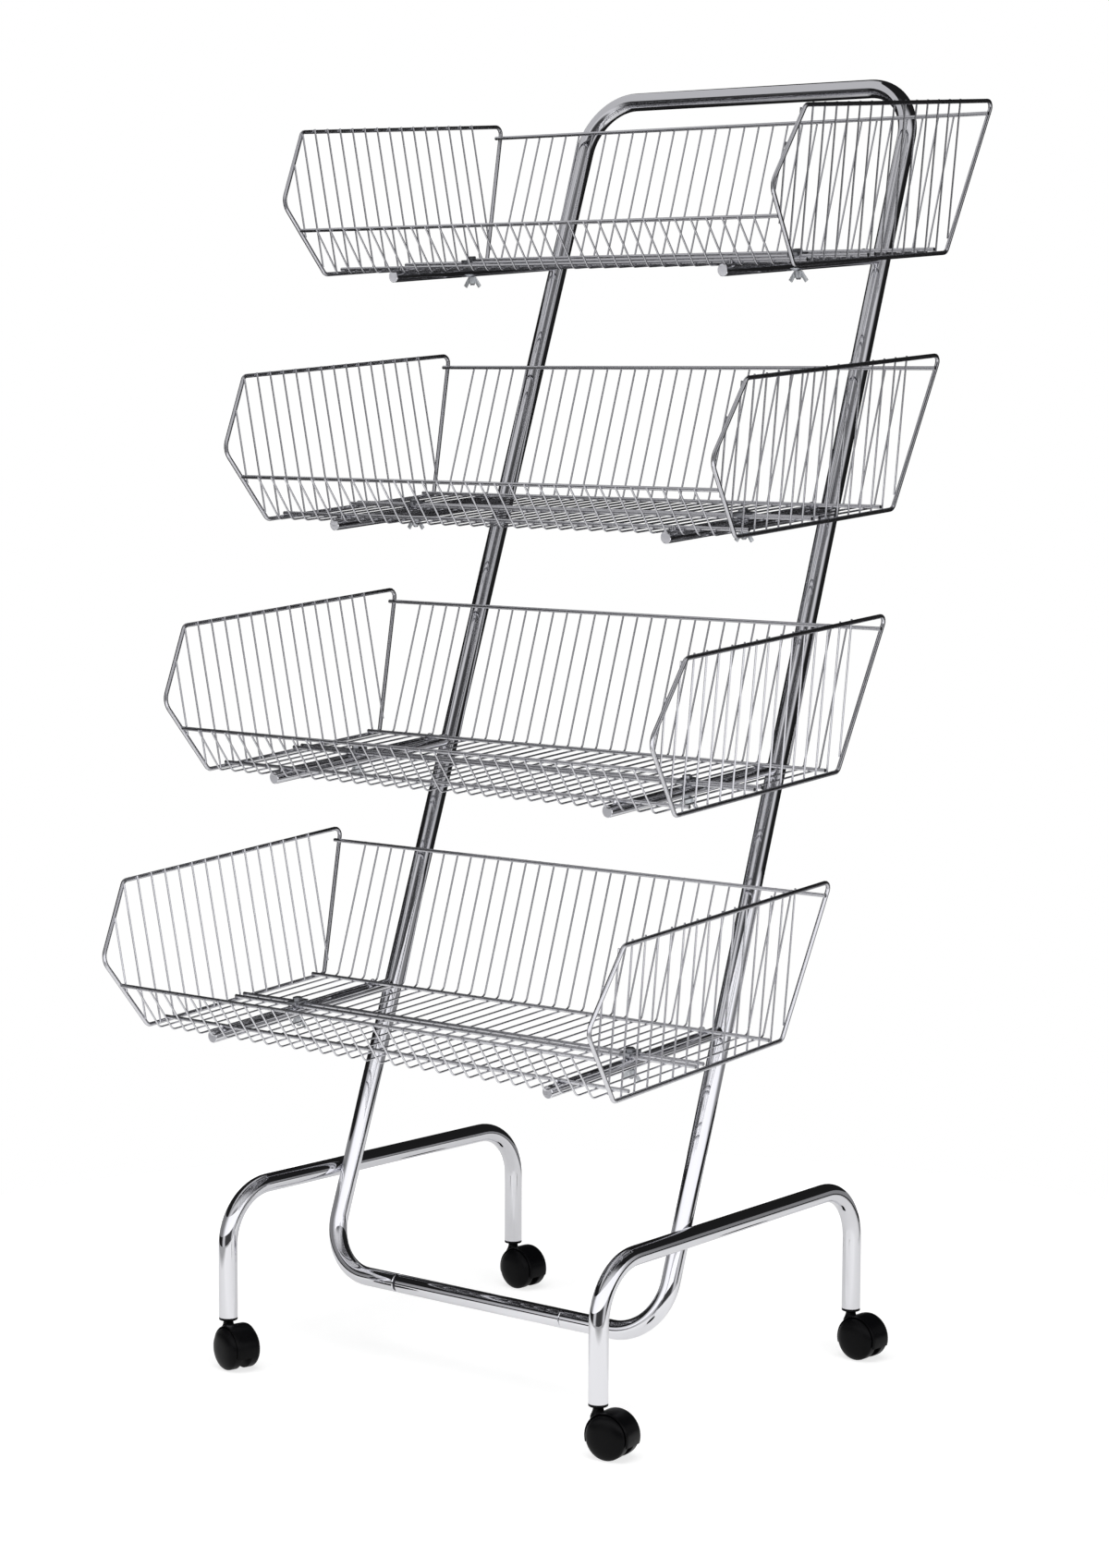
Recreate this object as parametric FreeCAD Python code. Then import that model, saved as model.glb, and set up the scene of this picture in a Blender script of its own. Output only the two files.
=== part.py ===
import FreeCAD, Part
import math
import os

from FreeCAD import Placement, Rotation, Vector

# Wheeled display stand for a shop: a leaning loop of bent tube on two arched legs, with four wire
# baskets that rest on pairs of arms and are held down by wing nuts.
# Millimetres. +X is the viewer's right, -Y the front, +Z up. The origin is on the floor, in the middle.

# Frame loop, cross tube and legs
tube_d = 22.0
tube_wall = 1.5
bend_r = 65.0               # centreline radius of every tube bend
lean = 19.4                 # degrees that the loop leans back
half_width = 251.0          # axis of an upright from the centre plane, at the cross tube
loop_taper = 0.36           # degrees that each upright leans inwards
cross_tube_z = 93.5         # axis of the bottom cross tube
top_bar_z = 1504.0          # axis of the top bar
joint_left = -136.0         # middle of the cross tube's left joint, which stands open
joint_right = 115.0         # middle of its right joint, which is closed
open_joint = 4.0
closed_joint = 0.1
sleeve_length = 60.0
sleeve_wall = 1.5
sleeve_fit = 0.05           # radial clearance of a sleeve in the tube
bore_room = 2.0             # how far a tube end's bore runs past what is pushed into it
leg_ahead = 144.0           # axis of a front leg ahead of the cross tube
leg_behind = 363.0          # axis of a rear leg behind the cross tube
leg_run_z = 208.0           # axis of a leg's level run
leg_splay = 1.8             # degrees that a leg turns outwards to the front
weld_gap = 0.02             # clearance left between pieces that are welded together

# Arms
tiers = 4
first_arm_z = 426.6         # where the lowest arm's axis meets the upright's axis
last_arm_below_bar = 202.2  # where the highest arm's axis does, below the top bar's axis
arm_tilt = 4.17             # degrees that an arm falls towards the front
arm_d = 14.0
arm_length = 315.0          # from the upright's axis
stud_d = 5.0
stud_height = 5.0

# Baskets, each in its own frame: y back from the rear bottom corner, z up from the bottom member's axis
setback = 20.0              # rear bottom corner ahead of the upright's axis
floor_width = 690.0         # between the axes of the two bottom members
flare = 0.139               # outward lean of a side panel, per millimetre of height
floor_depth = 303.0
nose_ahead = 54.0           # foremost corner of a side panel, ahead of the floor
nose_height = 87.0
top_setback = 52.0          # front end of the top member, behind the foremost corner
basket_height = 170.0
back_steeper = 1.335        # degrees that a basket's back stands steeper than the upright behind it
corner_cut = 7.0            # how far the bend at a corner of a side frame reaches along each member
frame_rod_d = 5.0
rail_d = 4.5
wire_d = 2.2
front_rim_z = 53.5
rim_below_top = 16.2        # where the back rim lies before the side frames, below their top members
rim_overhang = 0.5          # how far its ends reach past the side frames
front_rod_y = 275.0         # floor rods, ahead of the rear bottom corner
middle_rods_y = 150.0       # middle between the two middle rods
middle_rods_gap = 14.0      # between the axes of the two middle rods
rear_rod_y = 22.0
rod_overhang = 1.5          # how far a floor rod stops short of the bottom member's axis
cross_wires = 31
wires_between_arms = 23     # an arm lies about midway between two wires
wire_past_rim = 0.5         # how far a cross wire's end stands past the rim
side_wires = 16
first_side_wire = 26.0      # foremost side wire, behind the foremost corner
last_side_wire = 6.5        # rearmost side wire, behind the rear bottom corner
weld_seat = 0.02            # clearance between crossing wires and rods

# Clamps that hold the two middle rods of a basket down on an arm
bolt_d = 6.0
bolt_hole_d = 6.6
bolt_tip = 10.5             # how far a bolt stands out under its arm
bolt_head_across = 10.0
bolt_head_height = 4.0
saddle_width = 14.0
saddle_thick = 2.0
saddle_lip = 2.0            # how far the saddle reaches past the outer sides of the rods
nut_bore_fit = 0.05
nut_gap = 0.3               # between the nut's face and the arm
nut_height = 8.0
nut_d = 10.0
wing_span = 27.0
wing_drop = 13.5            # how far the wing tips hang below the nut's face
wing_width = 4.3
wing_thick = 2.0
wing_tip_height = 3.0
wing_root = 1.0             # clear of the bolt, and below the nut's face
wing_shoulder = 2.5
wing_throat = 5.5           # where a wing's inner edge leaves the hub, below the nut's face

# Casters
caster_height = 58.0        # floor to the lower end of a leg tube
wheel_d = 50.0
wheel_inner = 5.6           # inner face of a wheel from the caster's middle plane
tread_width = 11.5
dome_height = 5.5           # how far a wheel's outer face bulges
trail = 18.0                # wheel axle behind the swivel axis
axle_d = 6.0
axle_end = 17.0             # axle's end from the middle plane
wheel_fit = 0.05
axle_room = 0.5             # between the axle's end and the end of a wheel's bore
hood_gap = 1.0              # between the wheel and the hood
hood_thick = 1.7
hood_half_width = 15.0
hood_drop = 8.0             # how far the hood reaches below the axle
web_half = 5.0
boss_d = 12.0
stem_d = 10.0
spigot_d = 6.4              # lower part of the stem, inside the hood
spigot_fit = 0.05
stem_shoulder = 53.6
stem_length = 32.4          # above the shoulder, in the socket
spigot_end = 40.0
swivel_gap = 0.3
socket_flange = 2.0
socket_length = 30.0        # inside the leg tube
socket_fit = 0.05
caster_heading = {"front_left": -14.0, "front_right": 7.0, "rear_left": -4.0, "rear_right": -3.0}

# Sizes that follow from those above
tube_r = tube_d / 2
tube_bore_r = tube_r - tube_wall
arm_r = arm_d / 2
frame_r = frame_rod_d / 2
rail_r = rail_d / 2
wire_r = wire_d / 2
lean_rad = math.radians(lean)
tilt_rad = math.radians(arm_tilt)
taper = math.tan(math.radians(loop_taper))
arm_to_upright = lean + arm_tilt        # lean of an upright as seen from its tilted arm
loop_height = (top_bar_z - cross_tube_z) / math.cos(lean_rad)
wheel_r = wheel_d / 2
hood_r = wheel_r + hood_gap + hood_thick
socket_end_z = caster_height - socket_flange
tier_rise = (top_bar_z - last_arm_below_bar - first_arm_z) / (tiers - 1)
nose_reach = floor_depth + nose_ahead
top_reach = nose_reach - top_setback
back_lean_rad = math.radians(arm_to_upright - back_steeper)
back_reach = basket_height * math.tan(back_lean_rad)    # rear end of the top member
back_rim_z = basket_height - rim_below_top

# A basket rod rests on the arm and on the bottom members of the side frames
rod_above_arm = arm_r + rail_r + weld_seat
rod_z = frame_r + rail_r + weld_seat
member_above_arm = rod_above_arm - rod_z
wire_z = rod_z - rail_r - wire_r - weld_seat


def upright_y(z):
    """Distance of the upright's axis behind the cross tube at a height."""
    return (z - cross_tube_z) * math.tan(lean_rad)


def upright_x(z):
    """Distance of the upright's axis from the centre plane at a height."""
    return half_width - (z - cross_tube_z) / math.cos(lean_rad) * taper


def tier_z(tier):
    """Height at which a tier's arm axes meet the upright axes."""
    return first_arm_z + tier * tier_rise


def tier_point(y, z, tier):
    """A point of a tier's tilted frame, measured from the cross tube's axis and the floor."""
    rise = tier_z(tier)
    ahead = upright_y(rise)
    c = math.cos(tilt_rad)
    s = math.sin(tilt_rad)
    return ahead + y * c - z * s, rise + y * s + z * c


# The cross tube stands where the whole stand is centred between its foremost and rearmost points
nose = tier_point(-setback - nose_reach + corner_cut / 2, member_above_arm + nose_height, 0)
cross_tube_y = -(nose[0] - frame_r + upright_y(top_bar_z) + tube_r) / 2


def tier_frame(tier):
    """Placement of a tier's frame: origin where the arm axes meet the upright axes, y along the arm."""
    y, z = tier_point(0.0, 0.0, tier)
    return Placement(Vector(0, cross_tube_y + y, z), Rotation(Vector(1, 0, 0), arm_tilt))


def placed(shape, placement):
    moved = shape.copy()
    moved.Placement = placement.multiply(shape.Placement)
    return moved


def save(name, shapes):
    group = shapes[0] if len(shapes) == 1 else Part.makeCompound(shapes)
    group.exportStep("parts/" + name + ".step")


def disc(centre, normal, radius):
    return Part.Face(Part.Wire(Part.makeCircle(radius, centre, normal)))


def bent_tube(points, bored):
    """Tube along straight runs joined by bends of one radius, bored as deep as its ends take an insert."""
    pieces = []
    start = points[0]
    for before, corner, after in zip(points, points[1:], points[2:]):
        back = (before - corner).normalize()
        ahead = (after - corner).normalize()
        half = back.getAngle(ahead) / 2
        reach = bend_r / math.tan(half)
        centre = corner + (back + ahead).normalize() * (bend_r / math.sin(half))
        bend_start = corner + back * reach
        pieces.append(disc(start, back, tube_r).extrude(bend_start - start))
        turn = 180 - math.degrees(2 * half)
        pieces.append(disc(bend_start, back, tube_r).revolve(centre, ahead.cross(back), turn))
        start = corner + ahead * reach
    pieces.append(disc(start, points[-1] - start, tube_r).extrude(points[-1] - start))
    tube = pieces[0].fuse(pieces[1:])
    for end, next_point in ((points[0], points[1]), (points[-1], points[-2])):
        inward = (next_point - end).normalize()
        tube = tube.cut(rod(end - inward, end + inward * bored, tube_bore_r))
    return tube


def rod(start, end, radius):
    return Part.makeCylinder(radius, (end - start).Length, start, end - start)


def prism(start, end, radius, sides, inside=False):
    """Bar with flat sides that lie on a circle, or whose edges do if it is to turn inside a bore."""
    along = end - start
    side = Vector(1, 0, 0) if abs(along.x) < along.Length / 2 else Vector(0, 1, 0)
    up = along.cross(side).normalize()
    side = up.cross(along).normalize()
    corner_r = radius if inside else radius / math.cos(math.pi / sides)
    ring = []
    for k in range(sides + 1):
        angle = 2 * math.pi * (k + 0.5) / sides
        ring.append(start + side * (corner_r * math.cos(angle)) + up * (corner_r * math.sin(angle)))
    return Part.Face(Part.makePolygon(ring)).extrude(along)


def flat_sided_rod(points, radius, sides, closed=False):
    """Mitred bar through the points of a path in a plane of constant x, a flat facing x on each side."""
    if closed:
        begin = (points[0] + points[1]) / 2
        points = [begin] + points[1:] + [points[0], begin]
    along = points[1] - points[0]
    side = Vector(1, 0, 0)
    up = along.cross(side).normalize()
    corner_r = radius / math.cos(math.pi / sides)
    ring = []
    for k in range(sides + 1):
        angle = 2 * math.pi * (k + 0.5) / sides
        ring.append(points[0] + side * (corner_r * math.cos(angle)) + up * (corner_r * math.sin(angle)))
    path = Part.makePolygon(points)
    return path.makePipeShell([Part.makePolygon(ring)], True, False, 1)


def cut_corners(points, reach):
    """Replace each corner of a closed outline by a short chord, as a tight bend does."""
    out = []
    for k, corner in enumerate(points):
        for neighbour in (points[k - 1], points[(k + 1) % len(points)]):
            out.append(corner + (neighbour - corner).normalize() * reach)
    return out


# Frame loop, with its open ends at the joints of the cross tube
def loop_point(x, along):
    return Vector(x, cross_tube_y + along * math.sin(lean_rad), cross_tube_z + along * math.cos(lean_rad))


right_end = joint_right + closed_joint / 2
left_end = joint_left - open_joint / 2
top_half_width = upright_x(top_bar_z)
frame_loop = bent_tube([
    loop_point(right_end, 0), loop_point(half_width, 0), loop_point(top_half_width, loop_height),
    loop_point(-top_half_width, loop_height), loop_point(-half_width, 0), loop_point(left_end, 0)],
    sleeve_length / 2 + bore_room)
cross_start = loop_point(joint_left + open_joint / 2, 0)
cross_end = loop_point(joint_right - closed_joint / 2, 0)
cross_tube = rod(cross_start, cross_end, tube_r).cut(rod(cross_start, cross_end, tube_bore_r))
sleeves = []
sleeve_r = tube_bore_r - sleeve_fit
for x in (joint_left, joint_right):
    start = loop_point(x - sleeve_length / 2, 0)
    end = loop_point(x + sleeve_length / 2, 0)
    sleeves.append(rod(start, end, sleeve_r).cut(rod(start, end, sleeve_r - sleeve_wall)))


# Legs: an arch of the same tube outside each upright, turned outwards to the front
leg_front = -leg_ahead - upright_y(leg_run_z)
leg_rear = leg_behind - upright_y(leg_run_z)


def leg_frame(side):
    """Placement of a leg: over the floor beside its weld to the upright, with y along the level run."""
    turn = Rotation(Vector(0, 0, 1), side * leg_splay)
    run = turn.multVec(Vector(0, 1, 0))
    upright = Vector(-side * taper, math.sin(lean_rad), math.cos(lean_rad))
    apart = run.cross(upright).normalize() * (side * (tube_d + weld_gap))
    weld = Vector(side * upright_x(leg_run_z), cross_tube_y + upright_y(leg_run_z), 0)
    return Placement(Vector(weld.x + apart.x, weld.y + apart.y, 0), turn)


def leg(side):
    arch = bent_tube([
        Vector(0, leg_front, caster_height), Vector(0, leg_front, leg_run_z),
        Vector(0, leg_rear, leg_run_z), Vector(0, leg_rear, caster_height)],
        socket_length + bore_room)
    return placed(arch, leg_frame(side))


# Everything on a tier is made in the tier's tilted frame; x is where the upright's axis meets the arm's
lean_from_arm = math.radians(arm_to_upright)
bolt_y = -setback - middle_rods_y


def upright_dir(x):
    """Direction of the upright that stands at x, upwards and inwards."""
    inwards = -taper if x > 0 else taper
    return Vector(inwards, math.sin(lean_from_arm), math.cos(lean_from_arm)).normalize()


def upright_bar(x):
    reach = upright_dir(x) * tier_rise
    return rod(Vector(x, 0, 0) - reach, Vector(x, 0, 0) + reach, tube_r + weld_gap)


def arm(x):
    """Solid arm, coped to the upright, with a hole for the clamp's bolt."""
    bar = rod(Vector(x, 0, 0), Vector(x, -arm_length, 0), arm_r)
    hole = prism(Vector(x, bolt_y, -arm_d), Vector(x, bolt_y, arm_d), bolt_hole_d / 2, 8)
    return bar.cut(upright_bar(x)).cut(hole)


def locating_studs(x):
    """Studs that keep a basket from sliding: ahead of its front rod and behind its rear rod."""
    away = rail_r + stud_d / 2 + weld_seat
    out = []
    for y in (-setback - front_rod_y - away, -setback - rear_rod_y + away):
        out.append(prism(Vector(x, y, arm_r + weld_gap), Vector(x, y, arm_r + stud_height), stud_d / 2, 8))
    return out


# Basket pieces
def basket_point(x, y, z):
    """A point of the basket's own frame in its tier's frame."""
    return Vector(x, y - setback, z + member_above_arm)


def panel_x(z, inset=0.0):
    """Half the distance between the side frames' axes at a height, less an inset."""
    return floor_width / 2 + flare * z - inset


panel_outline = [
    (0, 0), (-floor_depth, 0), (-nose_reach, nose_height), (-top_reach, basket_height),
    (back_reach, basket_height)]
panel_angle = math.degrees(math.atan(flare))


def side_frame(side):
    """One side's closed outline, bent from rod and leaned outwards about its bottom member."""
    flat = [Vector(0, y, z * math.hypot(1, flare)) for y, z in panel_outline]
    loop = flat_sided_rod(cut_corners(flat, corner_cut), frame_r, 8, True)
    loop.rotate(Vector(0, 0, 0), Vector(0, 1, 0), side * panel_angle)
    loop.translate(basket_point(side * floor_width / 2, 0, 0))
    return loop


def rail(y, z, half_length):
    return prism(basket_point(-half_length, y, z), basket_point(half_length, y, z), rail_r, 8)


def panel_member_y(z, lower, upper):
    """Depth of a slanted member of the side frame at a height."""
    (y0, z0), (y1, z1) = lower, upper
    return y0 + (y1 - y0) * (z - z0) / (z1 - z0)


front_rim_y = panel_member_y(front_rim_z, panel_outline[1], panel_outline[2])
rim_before = (frame_r + rail_r) / math.cos(math.pi / 8) + weld_seat
back_rim = Vector(0, panel_member_y(back_rim_z, panel_outline[0], panel_outline[4]), back_rim_z)
back_rim += Vector(0, -math.cos(back_lean_rad), math.sin(back_lean_rad)) * rim_before
panel_stop = frame_r / math.cos(math.radians(panel_angle)) + weld_seat + rail_r * flare


def rails():
    floor_half = floor_width / 2 - rod_overhang
    half_gap = middle_rods_gap / 2
    out = [rail(front_rim_y, front_rim_z, panel_x(front_rim_z, panel_stop)),
           rail(back_rim.y, back_rim.z, panel_x(back_rim.z, -frame_r - rim_overhang))]
    for y in (front_rod_y, middle_rods_y + half_gap, middle_rods_y - half_gap, rear_rod_y):
        out.append(rail(-y, rod_z, floor_half))
    return out


def wire_beside(rim_y, rim_z, slope, outward):
    """A cross wire's straight leg beside a rim: its end past the rim and its corner at floor level."""
    along = Vector(0, slope[0], slope[1]).normalize()
    out = Vector(0, along.z, -along.y) * outward
    beside = Vector(0, rim_y, rim_z) + out * (rail_r + wire_r + weld_seat)
    end = beside + along * (rail_r + wire_past_rim)
    corner = beside - along * ((beside.z - wire_z) / along.z)
    return end, corner


def cross_wire(x):
    """Wire from behind the back rim, down the back, under the floor rods and up before the front rim."""
    nose_run = (floor_depth - nose_reach, nose_height)
    back_end, back_corner = wire_beside(back_rim.y, back_rim.z, (back_reach, basket_height), 1)
    front_end, front_corner = wire_beside(front_rim_y, front_rim_z, nose_run, -1)
    route = [back_end, back_corner, front_corner, front_end]
    return flat_sided_rod([basket_point(x, p.y, p.z) for p in route], wire_r, 4)


def all_cross_wires():
    pitch = (upright_x(tier_z(0)) + upright_x(tier_z(tiers - 1))) / wires_between_arms
    pattern = cross_wire(0.0)
    out = []
    for k in range(cross_wires):
        copy = pattern.copy()
        copy.translate(Vector((k - (cross_wires - 1) / 2) * pitch, 0, 0))
        out.append(copy)
    return out


def side_wire_span(y):
    """Heights on the side frame between which a side wire at a depth runs."""
    corner, front, nose_pt, top, rear = panel_outline
    low = 0.0
    high = basket_height
    if y < front[0]:
        low = nose_height * (y - front[0]) / (nose_pt[0] - front[0])
    if y > 0:
        low = basket_height * y / back_reach
    if y < top[0]:
        high = nose_height + (basket_height - nose_height) * (y - nose_pt[0]) / (top[0] - nose_pt[0])
    return low, high


def all_side_wires():
    """Upright wires on the inner faces of both side frames."""
    stretch = math.hypot(1, flare)
    inset = frame_r + wire_r + weld_seat
    first_y = first_side_wire - nose_reach
    pitch = (last_side_wire - first_y) / (side_wires - 1)
    out = []
    for side in (-1, 1):
        for k in range(side_wires):
            y = first_y + k * pitch
            low, high = side_wire_span(y)
            top = high * stretch + frame_r + wire_past_rim
            ends = [Vector(-side * inset, y, low * stretch), Vector(-side * inset, y, top)]
            wire = flat_sided_rod(ends, wire_r, 4)
            wire.rotate(Vector(0, 0, 0), Vector(0, 1, 0), side * panel_angle)
            wire.translate(basket_point(side * floor_width / 2, 0, 0))
            out.append(wire)
    return out


# Clamps
rods_top = rod_above_arm + rail_r


def saddle(x):
    """Pressed strap over the two middle rods, with its edges turned down beside them."""
    half = middle_rods_gap / 2 + rail_r + saddle_lip
    inner = half - saddle_thick
    low = rod_above_arm
    under = rods_top + weld_seat
    outline = [(-half, low), (-inner, low), (-inner, under), (inner, under), (inner, low), (half, low),
               (half, under + saddle_thick), (-half, under + saddle_thick), (-half, low)]
    wire = Part.makePolygon([Vector(x - saddle_width / 2, bolt_y + y, z) for y, z in outline])
    strap = Part.Face(wire).extrude(Vector(saddle_width, 0, 0))
    top = under + saddle_thick
    hole = prism(Vector(x, bolt_y, rods_top - 1), Vector(x, bolt_y, top + 1), bolt_hole_d / 2, 8)
    return strap.cut(hole)


def bolt(x):
    """Hexagon-headed bolt, down through the saddle and the arm."""
    seat = rods_top + saddle_thick + 2 * weld_seat
    shank = prism(Vector(x, bolt_y, -arm_r - bolt_tip), Vector(x, bolt_y, seat), bolt_d / 2, 8, True)
    top = Vector(x, bolt_y, seat + bolt_head_height)
    head = prism(Vector(x, bolt_y, seat), top, bolt_head_across / 2, 6)
    return shank.fuse(head)


def wing_nut(x):
    """Tapered hub with two wings that hang down on either side of the bolt."""
    face = -arm_r - nut_gap
    hub = prism(Vector(x, bolt_y, face), Vector(x, bolt_y, face - nut_height), nut_d / 2, 8)
    tip = wing_span / 2
    root = bolt_d / 2 + wing_root
    shape = [(root, -wing_root), (root, -wing_throat), (tip - wing_width, -wing_drop),
             (tip, wing_tip_height - wing_drop), (root + wing_shoulder, -wing_root), (root, -wing_root)]
    for side in (-1, 1):
        outline = Part.makePolygon(
            [Vector(x + side * r, bolt_y - wing_thick / 2, face + z) for r, z in shape])
        hub = hub.fuse(Part.Face(outline).extrude(Vector(0, wing_thick, 0)))
    bore = prism(Vector(x, bolt_y, face + 1), Vector(x, bolt_y, face - wing_drop - 1),
                 bolt_d / 2 + nut_bore_fit, 8)
    return hub.cut(bore).removeSplitter()


# Casters, made about the swivel axis with the wheels behind it on +X
def wheel(side):
    """Wheel with a plain tread, a bulging outer face and a blind bore for the axle."""
    tread_end = wheel_inner + tread_width
    ball_r = (wheel_r ** 2 + dome_height ** 2) / (2 * dome_height)
    middle = Vector(trail, 0, wheel_r)
    out = Vector(0, side, 0)
    drum = Part.makeCylinder(wheel_r, tread_width + dome_height, middle + out * wheel_inner, out)
    dome = Part.makeSphere(ball_r, middle + out * (tread_end + dome_height - ball_r))
    bore = prism(middle, middle + out * (axle_end + axle_room), axle_d / 2 + wheel_fit, 12)
    return drum.common(dome).cut(bore)


def axle():
    return prism(Vector(trail, -axle_end, wheel_r), Vector(trail, axle_end, wheel_r), axle_d / 2, 12, True)


def housing():
    """Arched hood over the two wheels, a web between them and the boss that swivels on the stem."""
    middle = Vector(trail, 0, wheel_r)
    ahead = Vector(0, 1, 0)
    outer = Part.makeCylinder(hood_r, 2 * hood_half_width, middle - ahead * hood_half_width, ahead)
    inner = Part.makeCylinder(hood_r - hood_thick, 2 * hood_half_width + 2,
                              middle - ahead * (hood_half_width + 1), ahead)
    below = Part.makeBox(4 * hood_r, 4 * hood_r, 2 * hood_r,
                         Vector(trail - 2 * hood_r, -2 * hood_r, wheel_r - hood_drop - 2 * hood_r))
    hood = outer.cut(inner).cut(below)
    web = Part.makeCylinder(hood_r, 2 * web_half, middle - ahead * web_half, ahead).cut(below)
    hub = Part.makeCylinder(axle_d, 2 * web_half, middle - ahead * web_half, ahead)
    boss_top = stem_shoulder - swivel_gap
    boss_low = wheel_r + math.sqrt(hood_r ** 2 - trail ** 2) - 2 * hood_thick
    boss = rod(Vector(0, 0, boss_low), Vector(0, 0, boss_top), boss_d / 2)
    body = hood.fuse([web, hub, boss])
    wheels_room = Part.makeCylinder(hood_r - hood_thick, hood_half_width, middle + ahead * web_half, ahead)
    body = body.cut(wheels_room).cut(wheels_room.mirror(Vector(0, 0, 0), ahead))
    spigot_hole = prism(Vector(0, 0, spigot_end - swivel_gap), Vector(0, 0, boss_top + 1),
                        spigot_d / 2 + spigot_fit, 12)
    return body.cut(spigot_hole).cut(axle()).removeSplitter()


def stem():
    stem_top = Vector(0, 0, stem_shoulder + stem_length)
    upper = prism(Vector(0, 0, stem_shoulder), stem_top, stem_d / 2, 12, True)
    lower = prism(Vector(0, 0, spigot_end), Vector(0, 0, stem_shoulder), spigot_d / 2, 12, True)
    return upper.fuse(lower)


def socket():
    """Plastic insert in the end of a leg, with a flange under the tube and a bore for the stem."""
    plug = prism(Vector(0, 0, caster_height - weld_gap), Vector(0, 0, caster_height + socket_length),
                 tube_bore_r - socket_fit, 12, True)
    flange = prism(Vector(0, 0, socket_end_z), Vector(0, 0, caster_height - weld_gap), tube_r, 24, True)
    bore = prism(Vector(0, 0, 0), Vector(0, 0, 2 * caster_height), stem_d / 2 + socket_fit, 12)
    return plug.fuse(flange).cut(bore)


caster_places = {}
for front, leg_y in (("front", leg_front), ("rear", leg_rear)):
    for side_name, side in (("left", -1), ("right", 1)):
        caster_places[front + "_" + side_name] = leg_frame(side).multVec(Vector(0, leg_y, 0))


def caster_frame(name):
    return Placement(caster_places[name], Rotation(Vector(0, 0, 1), caster_heading[name]))


def clamp_point(side, tier):
    """A point on the axis of a clamp's bolt, at the underside of the arm."""
    return tier_frame(tier).multVec(Vector(side * upright_x(tier_z(tier)), bolt_y, -arm_r))


def build():
    os.makedirs("parts", exist_ok=True)
    save("frame_loop", [frame_loop])
    save("bottom_cross_tube", [cross_tube])
    save("cross_tube_sleeves", sleeves)
    save("left_leg", [leg(-1)])
    save("right_leg", [leg(1)])

    basket = {"side_frames": [side_frame(-1), side_frame(1)], "rails": rails(),
              "cross_wires": all_cross_wires(), "side_wires": all_side_wires()}
    every_stud, every_saddle, every_bolt = [], [], []
    for tier in range(tiers):
        place = tier_frame(tier)
        label = "tier%d_" % (tier + 1)
        for name, shapes in basket.items():
            save(label + "basket_" + name, [placed(s, place) for s in shapes])
        arm_x = upright_x(tier_z(tier))
        save(label + "arms", [placed(arm(x), place) for x in (-arm_x, arm_x)])
        for name, x in (("left", -arm_x), ("right", arm_x)):
            save(label + name + "_wing_nut", [placed(wing_nut(x), place)])
            every_stud += [placed(s, place) for s in locating_studs(x)]
            every_saddle.append(placed(saddle(x), place))
            every_bolt.append(placed(bolt(x), place))
    save("locating_studs", every_stud)
    save("clamp_saddles", every_saddle)
    save("clamp_bolts", every_bolt)

    save("caster_sockets", [placed(socket(), caster_frame(name)) for name in caster_places])
    save("caster_stems", [placed(stem(), caster_frame(name)) for name in caster_places])
    body = housing()
    pin = axle()
    rollers = {"inner": wheel(1), "outer": wheel(-1)}
    for name in caster_places:
        place = caster_frame(name)
        save(name + "_caster_housing", [placed(body, place)])
        save(name + "_caster_axle", [placed(pin, place)])
        for which, roller in rollers.items():
            save(name + "_" + which + "_wheel", [placed(roller, place)])


build()
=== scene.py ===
import math

import bpy
from mathutils import Matrix, Vector


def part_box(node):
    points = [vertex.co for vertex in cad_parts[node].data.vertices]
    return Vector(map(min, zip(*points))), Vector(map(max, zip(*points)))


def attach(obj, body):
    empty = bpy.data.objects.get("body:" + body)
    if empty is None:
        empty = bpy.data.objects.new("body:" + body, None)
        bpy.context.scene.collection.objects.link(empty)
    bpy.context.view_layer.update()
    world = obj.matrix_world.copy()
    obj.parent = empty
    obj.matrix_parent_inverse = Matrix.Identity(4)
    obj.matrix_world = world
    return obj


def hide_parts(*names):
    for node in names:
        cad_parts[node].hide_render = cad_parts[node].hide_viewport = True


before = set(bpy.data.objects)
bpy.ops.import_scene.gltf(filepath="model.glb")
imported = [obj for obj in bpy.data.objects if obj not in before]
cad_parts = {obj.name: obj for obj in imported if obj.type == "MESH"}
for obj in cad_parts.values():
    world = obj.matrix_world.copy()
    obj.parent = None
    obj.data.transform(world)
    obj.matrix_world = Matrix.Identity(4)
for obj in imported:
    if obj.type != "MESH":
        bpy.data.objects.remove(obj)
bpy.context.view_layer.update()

# Sizes in metres; the main ones are those of the CAD model.
# Gaps between pieces
SEAT = 0.00002                  # between pieces that touch
BORE_PLAY = 0.00005             # round a bolt, spigot or stem in its bore
LOOSE_PLAY = 0.0001             # round an axle in its wheel, and a plug in its tube
BORE_SPARE = 0.002              # depth of a tube's bore beyond what is put into it

# Frame: loop, cross tube, legs, arms and their studs
TIERS = 4
TUBE_R = 0.011
TUBE_WALL = 0.0015
TUBE_EDGE = 0.0007              # broken edge of the tubes at the two joints of the foot
BEND_R = 0.065
HALF_WIDTH = 0.251
LEAN = math.radians(19.4)
TAPER = math.tan(math.radians(0.36))
CROSS_TUBE_Z = 0.0935
TOP_BAR_Z = 1.504
JOINT_LEFT = -0.136
JOINT_RIGHT = 0.115
OPEN_JOINT = 0.004
CLOSED_JOINT = 0.0004
SLEEVE_LENGTH = 0.060
LEG_AHEAD = 0.144
LEG_BEHIND = 0.363
LEG_RUN_Z = 0.208
LEG_SPLAY = math.radians(1.8)
FIRST_ARM_Z = 0.4266
LAST_ARM_BELOW_BAR = 0.2022
ARM_TILT = math.radians(4.17)
ARM_R = 0.007
ARM_LENGTH = 0.315
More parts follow.
